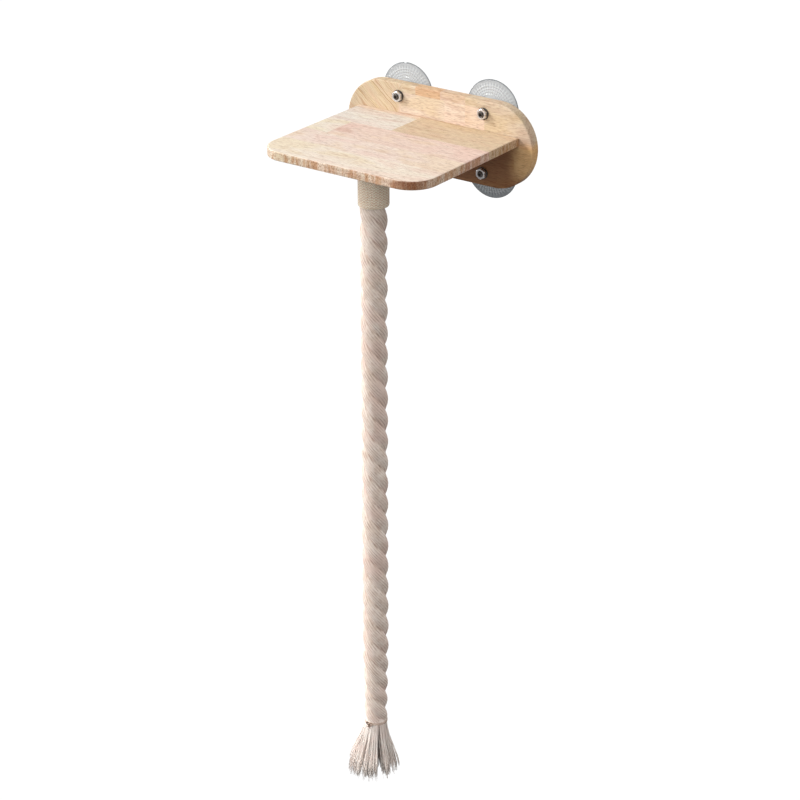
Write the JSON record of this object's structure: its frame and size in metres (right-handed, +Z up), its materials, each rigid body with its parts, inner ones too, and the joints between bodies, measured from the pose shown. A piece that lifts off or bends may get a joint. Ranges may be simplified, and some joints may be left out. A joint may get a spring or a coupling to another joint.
{
  "type": "cat wall shelf",
  "caption": "Wooden cat wall shelf on a round-ended back board held by suction cups, with a thick twisted rope and tassel hanging below.",
  "frame": {"origin": "on the wall plane, behind the middle of the back board (boards' centre in X and Z)", "axes": "+X to the right as seen from the room, +Y into the wall, +Z up; the shelf and its rope are on the -Y side"},
  "size_m": [0.2904, 0.2448, 0.9788],
  "materials": {
    "panel_wood": "fine sanded rubberwood, finger-jointed, thin satin oil",
    "board_wood": "fine sanded rubberwood, finger-jointed, thin satin oil",
    "plug_wood": "plain turned hardwood",
    "clear_pvc": "clear soft PVC, glossy, with fine moulded rings",
    "steel": "bright zinc plated steel",
    "rope_cotton": "three-strand twisted cotton, slightly fuzzy",
    "collar_cloth": "coarse woven cloth",
    "tie_cord": "thin waxed cotton cord"
  },
  "bodies": {
    "shelf": {"shelf_panel": "panel_wood", "back_board": "board_wood", "suction_cup_upper_left": "clear_pvc", "suction_cup_upper_right": "clear_pvc", "suction_cup_lower_left": "clear_pvc", "suction_cup_lower_right": "clear_pvc", "cup_stud_upper_left": "steel", "cup_stud_upper_right": "steel", "cup_stud_lower_left": "steel", "cup_stud_lower_right": "steel", "washer_upper_left": "steel", "washer_upper_right": "steel", "washer_lower_left": "steel", "washer_lower_right": "steel", "hex_nut_upper_left": "steel", "hex_nut_upper_right": "steel", "hex_nut_lower_left": "steel", "hex_nut_lower_right": "steel", "shelf_screw_left": "steel", "shelf_screw_centre": "steel", "shelf_screw_right": "steel", "shelf_dowel_left": "plug_wood", "shelf_dowel_right": "plug_wood", "hanger_eye": "steel"},
    "ring": {"hanger_ring": "steel"},
    "rope": {"plug_eye": "steel", "rope_plug": "plug_wood", "rope_collar": "collar_cloth", "scratch_rope": "rope_cotton", "rope_tie": "tie_cord", "rope_tassel": "rope_cotton"}
  },
  "joints": [
    {"name": "rope_swing_out", "type": "hinge", "parent": "shelf", "child": "ring", "pos_m": [0, -0.165, -0.0078], "axis": [1, 0, 0], "range_deg": [-45, 8]},
    {"name": "rope_swing_sideways", "type": "hinge", "parent": "ring", "child": "rope", "pos_m": [0, -0.165, -0.01875], "axis": [0, 1, 0], "range_deg": [-45, 45]}
  ]
}
